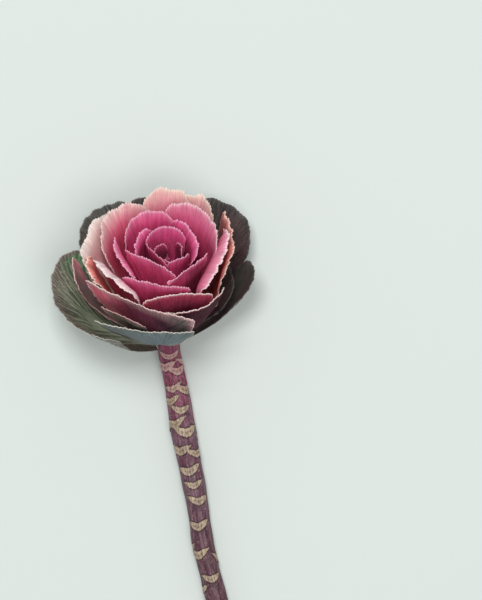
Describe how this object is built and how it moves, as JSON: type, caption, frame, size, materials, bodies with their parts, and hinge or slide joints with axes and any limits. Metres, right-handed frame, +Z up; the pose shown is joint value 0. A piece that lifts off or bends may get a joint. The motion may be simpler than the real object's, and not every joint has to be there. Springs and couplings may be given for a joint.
{
  "type": "ornamental cabbage",
  "caption": "Cut ornamental cabbage lying down: a rose-like head of pink leaves inside dark green ones, on a bent purple stem with leaf scars.",
  "frame": {"origin": "centre of the bounding box in plan, on the surface that the plant lies on", "axes": "+Z up from the surface, +Y along the plant from the stem's cut end to the head, +X across it; the head's axis rises 50 degrees from the surface, towards +Y"},
  "size_m": [0.113, 0.2596, 0.0963],
  "materials": {
    "green": "matte",
    "edging": "matte",
    "pink": "matte",
    "heart": "matte",
    "stem": "matte"
  },
  "bodies": {
    "root": {"green_leaf_left": "green", "green_leaf_right": "green", "green_leaf_back_left": "green", "green_leaf_back_right": "green", "green_leaf_front": "green", "edging_leaf_back": "edging", "edging_leaf_front": "edging", "edging_leaf_left": "edging", "edging_leaf_right": "edging", "pink_leaf_outer_back": "pink", "pink_leaf_front_right": "pink", "pink_leaf_front_left": "pink", "pink_leaf_left_low": "pink", "pink_leaf_left_back": "pink", "pink_leaf_right_low": "pink", "pink_leaf_back": "pink", "pink_leaf_mid_front_right": "pink", "pink_leaf_mid_left": "pink", "pink_leaf_back_left": "pink", "pink_leaf_mid_right": "pink", "heart_leaf_back_right": "heart", "heart_leaf_front": "heart", "heart_leaf_left": "heart", "heart_leaf_back": "heart", "heart_leaf_front_right": "heart", "inner_leaf_right": "heart", "inner_leaf_front_left": "heart", "inner_leaf_left": "heart", "inner_leaf_back": "heart", "bud_leaf_left": "heart", "bud_leaf_right": "heart", "bud_leaf_back_right": "heart", "bud_leaf_back_left": "heart", "bud_leaf_front": "heart", "bud": "heart", "stem": "stem"}
  },
  "joints": []
}
